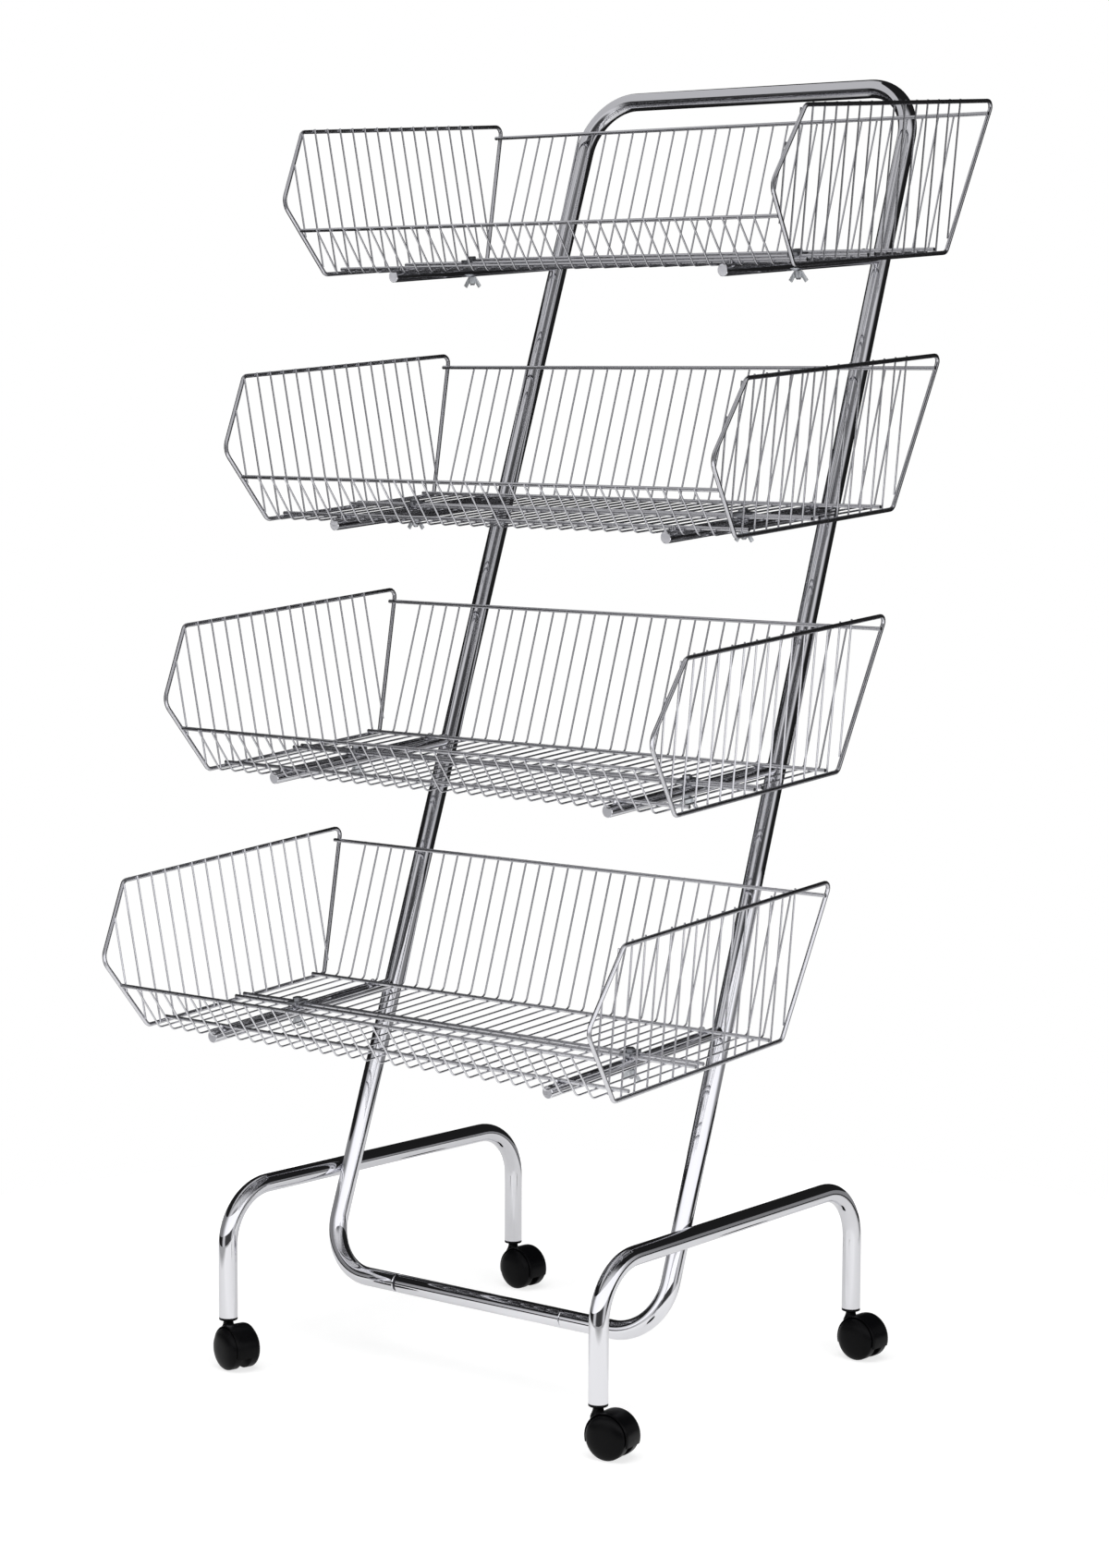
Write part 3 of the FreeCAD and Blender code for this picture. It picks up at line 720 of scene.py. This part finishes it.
def hood():
    """Rounded fender: its section is drawn across the wheels, spun over the top and given a wall."""
    section = [(-HOOD_HALF_WIDTH + y, r) for y, r in HOOD_ROUND]
    section += [(-y, r) for y, r in reversed(section)]
    past_level = math.asin(HOOD_DROP / HOOD_R)
    ahead = Vector((-math.cos(past_level), 0, -math.sin(past_level)))
    piece = line([AXLE + ahead * r + Vector((0, y, 0)) for y, r in section])
    bpy.ops.mesh.spin(steps=32, angle=math.pi + 2 * past_level, center=AXLE, axis=(0, -1, 0))
    face_outwards()
    bpy.ops.object.mode_set(mode="OBJECT")
    wall = piece.modifiers.new("wall", "SOLIDIFY")
    wall.thickness = HOOD_WALL
    wall.offset = -1
    bpy.ops.object.modifier_apply(modifier=wall.name)
    return end(piece, "hood", black_plastic, smooth=50)


def web():
    """Cut-off disc between the wheels that carries the axle."""
    steps = 24
    rim = HOOD_R - WEB_BELOW_HOOD
    past_level = math.asin(HOOD_DROP / rim)
    outline = []
    for k in range(steps + 1):
        angle = (math.pi + 2 * past_level) * k / steps - past_level
        outline.append(AXLE + Vector((rim * math.cos(angle), -WEB_HALF, rim * math.sin(angle))))
    return plate("web", outline, Vector((0, 2 * WEB_HALF, 0)), black_plastic, WEB_EDGE)


def boss():
    """Neck round the stem's spigot, flared where it grows out of the hood."""
    top = STEM_SHOULDER - SWIVEL_GAP
    low = SPIGOT_END - SWIVEL_GAP
    bore = SPIGOT_R + BORE_PLAY
    profile = [(low, bore), (low, BOSS_ROOT_R), *BOSS_FLARE, (top - BOSS_EDGE, BOSS_R),
               (top, BOSS_R - BOSS_EDGE), (top, bore), (low, bore)]
    return turned_piece("boss", (0, 0, 0), (0, 0, 1), profile, black_plastic, closed=True)


def stem():
    """Steel pin: a spigot that the housing turns on, and a thicker stem in the socket."""
    profile = [(SPIGOT_END, SPIGOT_R * 0.8), (SPIGOT_END + SPIGOT_POINT, SPIGOT_R),
               (STEM_SHOULDER, SPIGOT_R), (STEM_SHOULDER, STEM_R),
               (STEM_TOP - STEM_EDGE, STEM_R), (STEM_TOP, STEM_R - STEM_EDGE)]
    return turned_piece("stem", (0, 0, 0), (0, 0, 1), profile, zinc, sides=24)


def socket():
    """Plastic insert: a flange with round edges under the tube, and a plug inside it."""
    low = CASTER_HEIGHT - SOCKET_FLANGE
    seat = CASTER_HEIGHT - SEAT
    top = CASTER_HEIGHT + SOCKET_LENGTH
    plug = TUBE_R - TUBE_WALL - LOOSE_PLAY
    bore = STEM_R + BORE_PLAY
    profile = [(low, bore), (low, TUBE_R - FLANGE_LOW_ROUND), (low + FLANGE_EDGE, TUBE_R),
               (CASTER_HEIGHT - FLANGE_EDGE, TUBE_R), (seat, TUBE_R - FLANGE_TOP_ROUND),
               (seat, plug), (top, plug), (top, bore), (low, bore)]
    return turned_piece("socket", (0, 0, 0), (0, 0, 1), profile, black_plastic, closed=True)


wheel_pattern = wheel()
wheel_pair = {"inner": wheel_pattern, "outer": copy_to(wheel_pattern, "outer wheel", MIRROR_Y)}
housing = join("housing", [hood(), web(), boss()])
for corner in CASTER_HEADING:
    place = caster_frame(corner)
    node = corner + "_caster_housing"
    fit(copy_to(housing, node + "_finished", place), corner + "_caster", "black_plastic", node)
    for which, pattern in wheel_pair.items():
        node = "%s_%s_wheel" % (corner, which)
        fit(copy_to(pattern, node + "_finished", place), node, "black_plastic", node)
drop(housing, *wheel_pair.values())

leg_end_parts = (("caster_stems", "zinc", stem()), ("caster_sockets", "black_plastic", socket()))
for node, slot, pattern in leg_end_parts:
    copies = [copy_to(pattern, node + "_part", caster_frame(corner)) for corner in CASTER_HEADING]
    drop(pattern)
    fit(join(node + "_finished", copies), "stand", slot, node)

# CAD nodes that stay as they are get the finishes of this scene; all but the axles get a steel far darker
# than steel is, which paints the shade in the open joint's recess round its sleeve
for node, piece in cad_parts.items():
    piece.data.materials.clear()
    piece.data.materials.append(zinc if "axle" in node else steel_painted_dark)

# Camera at the photograph's viewing angle
AZIMUTH = math.radians(39.0)
ELEVATION = math.radians(6.48)
ROLL = math.radians(0.24)
EYE = Vector((2.5988, CROSS_TUBE_Y - 3.0888, 1.1576))
FOCAL_PIXELS = 3850.3
IMAGE_HEIGHT = 1697
# The front of the studio is where the photograph was taken from, and stays there in other views
STUDIO_FRONT = Vector((math.sin(AZIMUTH), -math.cos(AZIMUTH), 0))
gaze = -STUDIO_FRONT * math.cos(ELEVATION) - Vector((0, 0, math.sin(ELEVATION)))
turned = gaze.to_track_quat("-Z", "Y").to_matrix() @ Matrix.Rotation(ROLL, 3, "Z")
begin()
bpy.ops.object.camera_add(location=EYE)
camera = bpy.context.object
camera.rotation_euler = turned.to_euler()
camera.data.sensor_width = 36.0
camera.data.lens = FOCAL_PIXELS * camera.data.sensor_width / IMAGE_HEIGHT
camera.data.clip_end = 50
bpy.context.scene.camera = camera

# Studio. The chrome sees a dim room, paper on the floor, a low wall of white paper and a grey panel.
# Greys round the stand as (place, grey), from the back of the studio, at 0, to its front, at 1
ROOM_GREYS = [(0.0, 0.012), (0.60, 0.015), (0.66, 0.10), (0.72, 0.45), (0.80, 0.68), (0.86, 0.68),
              (0.90, 0.25), (0.94, 0.06), (1.0, 0.05)]
WALL_GREYS = [(0.0, 0.25), (0.40, 0.25), (0.52, 0.20), (0.64, 0.45), (0.76, 1.15), (1.0, 1.25)]
FLOOR_GREYS = [(0.0, 0.40), (0.45, 0.45), (0.70, 0.50), (0.82, 0.60), (0.90, 0.58), (1.0, 0.56)]
BLUISH = 1.02                   # blue of those greys over their red and green
WORLD_GREY = 0.12
ROOM_R = 20
WALL_R = 1.05
WALL_HEIGHT = 0.49
WALL_TILT = math.radians(19.5)
WALL_FOOT = 0.14
FOOT_TILT = math.radians(7.5)
PANEL_PLACE = (-1.1, -0.5, 3.1)
PANEL_SIZE = (2.7, 3.6, 1)
PANEL_GREY = 0.55
FLOOR_R = 1.15
FLOOR_GREY = 0.4
FLOOR_GLOW = 0.74               # what the camera sees near the stand, besides the lamps' light
GLOW_FROM = 0.5                 # distances between which that rises to white
GLOW_TO = 1.1
PAPER_R = 1.0
PAPER_EDGE = 0.1
PAST_PAPER = 0.01               # how much of the floor's grey is left beyond the paper
# Lamps as (place, size, power), and the point that they face
LAMPS = [((0.4, -0.6, 3.6), 3.0, 110), ((3.2, -1.0, 2.0), 1.6, 30), ((-2.0, -2.6, 2.0), 1.6, 30)]
LAMP_TARGET = Vector((0, 0, 0.4))


def bluish(grey):
    return (grey, grey, grey * BLUISH, 1)


def math_node(tree, operation, *values):
    """Sum, product or the like of other nodes' values."""
    node = tree.nodes.new("ShaderNodeMath")
    node.operation = operation
    for value, entry in zip(values, node.inputs):
        tree.links.new(value, entry)
    return node.outputs["Value"]


def map_range(tree, value, start, stop, low, high):
    """Value that goes from low to high while another goes from start to stop."""
    node = tree.nodes.new("ShaderNodeMapRange")
    node.inputs["From Min"].default_value = start
    node.inputs["From Max"].default_value = stop
    node.inputs["To Min"].default_value = low
    node.inputs["To Max"].default_value = high
    tree.links.new(value, node.inputs["Value"])
    return node.outputs["Result"]


def grey_round_stand(tree, greys):
    """Ramp of greys round the stand, from the back of the studio, at 0, to its front, at 1."""
    unit = tree.nodes.new("ShaderNodeVectorMath")
    unit.operation = "NORMALIZE"
    tree.links.new(tree.nodes.new("ShaderNodeTexCoord").outputs["Object"], unit.inputs[0])
    facing = tree.nodes.new("ShaderNodeVectorMath")
    facing.operation = "DOT_PRODUCT"
    facing.inputs[1].default_value = STUDIO_FRONT
    tree.links.new(unit.outputs["Vector"], facing.inputs[0])
    ramp = tree.nodes.new("ShaderNodeValToRGB")
    elements = ramp.color_ramp.elements
    while len(elements) < len(greys):
        elements.new(0.5)
    for element, (place, grey) in zip(elements, greys):
        element.position = place
        element.color = bluish(grey)
    tree.links.new(map_range(tree, facing.outputs["Value"], -1, 1, 0, 1), ramp.inputs["Fac"])
    return ramp.outputs["Color"]


def seen_or_mirrored(tree):
    """Whether the camera sees a thing itself, and whether it sees it in metal or through glass."""
    path = tree.nodes.new("ShaderNodeLightPath")
    bent = math_node(tree, "ADD", path.outputs["Is Glossy Ray"], path.outputs["Is Transmission Ray"])
    return path.outputs["Is Camera Ray"], bent


def studio_world():
    """White background to the camera, and in reflections where no card hides it; dim light to the rest."""
    world = bpy.data.worlds.new("studio")
    bpy.context.scene.world = world
    world.use_nodes = True
    tree = world.node_tree
    link = tree.links.new
    dim = tree.nodes["Background"]
    dim.inputs["Color"].default_value = (WORLD_GREY, WORLD_GREY, WORLD_GREY, 1)
    white = tree.nodes.new("ShaderNodeBackground")
    white.inputs["Color"].default_value = (1, 1, 1, 1)
    choose = tree.nodes.new("ShaderNodeMixShader")
    link(math_node(tree, "MAXIMUM", *seen_or_mirrored(tree)), choose.inputs["Fac"])
    link(dim.outputs["Background"], choose.inputs[1])
    link(white.outputs["Background"], choose.inputs[2])
    link(choose.outputs["Shader"], tree.nodes["World Output"].inputs["Surface"])


def only_in_reflections(card, name, greys=None, grey=0.0):
    """Card that only the chrome sees: evenly grey, or with a ramp of greys round the stand."""
    material = bpy.data.materials.new(name)
    material.use_nodes = True
    tree = material.node_tree
    shader = tree.nodes["Principled BSDF"]
    shader.inputs["Base Color"].default_value = (0, 0, 0, 1)
    shader.inputs["Specular IOR Level"].default_value = 0
    shader.inputs["Emission Color"].default_value = bluish(grey)
    shader.inputs["Emission Strength"].default_value = 1
    if greys:
        tree.links.new(grey_round_stand(tree, greys), shader.inputs["Emission Color"])
    card.data.materials.append(material)
    card.visible_camera = False
    card.visible_diffuse = False
    card.visible_shadow = False


def dim_room():
    """Dim room far round the stand, with a paler wall on each side of its front."""
    begin()
    bpy.ops.mesh.primitive_uv_sphere_add(segments=64, ring_count=32, radius=ROOM_R, location=(0, 0, 1))
    room = bpy.context.object
    room.name = "dim_room"
    only_in_reflections(room, "dim room", ROOM_GREYS)


def low_wall():
    """White paper wall round the stand: brighter, higher and clear of the floor to the front."""
    begin()
    middle = (WALL_FOOT + WALL_HEIGHT) / 2
    bpy.ops.mesh.primitive_cylinder_add(vertices=64, radius=WALL_R, depth=WALL_HEIGHT - WALL_FOOT,
                                        end_fill_type="NOTHING", location=(0, 0, middle))
    wall = bpy.context.object
    wall.name = "low_wall"
    bpy.ops.object.transform_apply(location=True)
    axes = (STUDIO_FRONT.cross((0, 0, 1)), STUDIO_FRONT, (0, 0, 1))
    rings = [[v.index for v in wall.data.vertices if (v.co.z > middle) == top] for top in (False, True)]
    for ring_points, height, tilt in zip(rings, (WALL_FOOT, WALL_HEIGHT), (FOOT_TILT, WALL_TILT)):
        bpy.ops.object.mode_set(mode="EDIT")
        bpy.ops.mesh.select_all(action="DESELECT")
        bpy.ops.object.mode_set(mode="OBJECT")
        for index in ring_points:
            wall.data.vertices[index].select = True
        bpy.ops.object.mode_set(mode="EDIT")
        bpy.ops.transform.rotate(value=-tilt, orient_axis="X", orient_matrix=axes,
                                 center_override=(0, 0, height))
    bpy.ops.object.mode_set(mode="OBJECT")
    only_in_reflections(wall, "white paper", WALL_GREYS)


def high_panel():
    """Grey panel to the left, above the stand, that shows in the top of its top bar."""
    begin()
    bpy.ops.mesh.primitive_plane_add(size=1, location=PANEL_PLACE, rotation=(0, math.pi / 2, 0))
    panel = bpy.context.object
    panel.name = "high_panel"
    panel.scale = PANEL_SIZE
    only_in_reflections(panel, "grey panel", grey=PANEL_GREY)


def studio_floor():
    """Pale floor that takes the shadows; away from the stand it is plain white to the camera.

    In the chrome it is grey paper, which ends at a distance from the stand."""
    begin()
    bpy.ops.mesh.primitive_circle_add(vertices=96, radius=FLOOR_R, fill_type="NGON", location=(0, 0, 0))
    floor = bpy.context.object
    floor.name = "studio_floor"
    material = bpy.data.materials.new("pale floor")
    material.use_nodes = True
    tree = material.node_tree
    shader = tree.nodes["Principled BSDF"]
    shader.inputs["Base Color"].default_value = (FLOOR_GREY, FLOOR_GREY, FLOOR_GREY, 1)
    shader.inputs["Roughness"].default_value = 0.8
    shader.inputs["Specular IOR Level"].default_value = 0
    shader.inputs["Emission Color"].default_value = (1, 1, 1, 1)
    length = tree.nodes.new("ShaderNodeVectorMath")
    length.operation = "LENGTH"
    tree.links.new(tree.nodes.new("ShaderNodeTexCoord").outputs["Object"], length.inputs[0])
    distance = length.outputs["Value"]
    seen, mirrored = seen_or_mirrored(tree)
    glow = map_range(tree, distance, GLOW_FROM, GLOW_TO, FLOOR_GLOW, 1)
    paper = map_range(tree, distance, PAPER_R - PAPER_EDGE, PAPER_R, 1, PAST_PAPER)
    on_paper = math_node(tree, "MULTIPLY", mirrored, paper)
    in_chrome = math_node(tree, "MULTIPLY", on_paper, grey_round_stand(tree, FLOOR_GREYS))
    strength = math_node(tree, "MULTIPLY_ADD", seen, glow, in_chrome)
    tree.links.new(strength, shader.inputs["Emission Strength"])
    floor.data.materials.append(material)


def lamp(place, size, power):
    """Soft lamp that lights the stand but isn't seen in its chrome."""
    begin()
    bpy.ops.object.light_add(type="AREA", location=place)
    light = bpy.context.object
    light.data.size = size
    light.data.energy = power
    light.rotation_euler = (LAMP_TARGET - light.location).to_track_quat("-Z", "Y").to_euler()
    light.visible_glossy = False


studio_floor()
studio_world()
dim_room()
low_wall()
high_panel()
for place, size, power in LAMPS:
    lamp(place, size, power)
bpy.context.scene.view_settings.view_transform = "Standard"
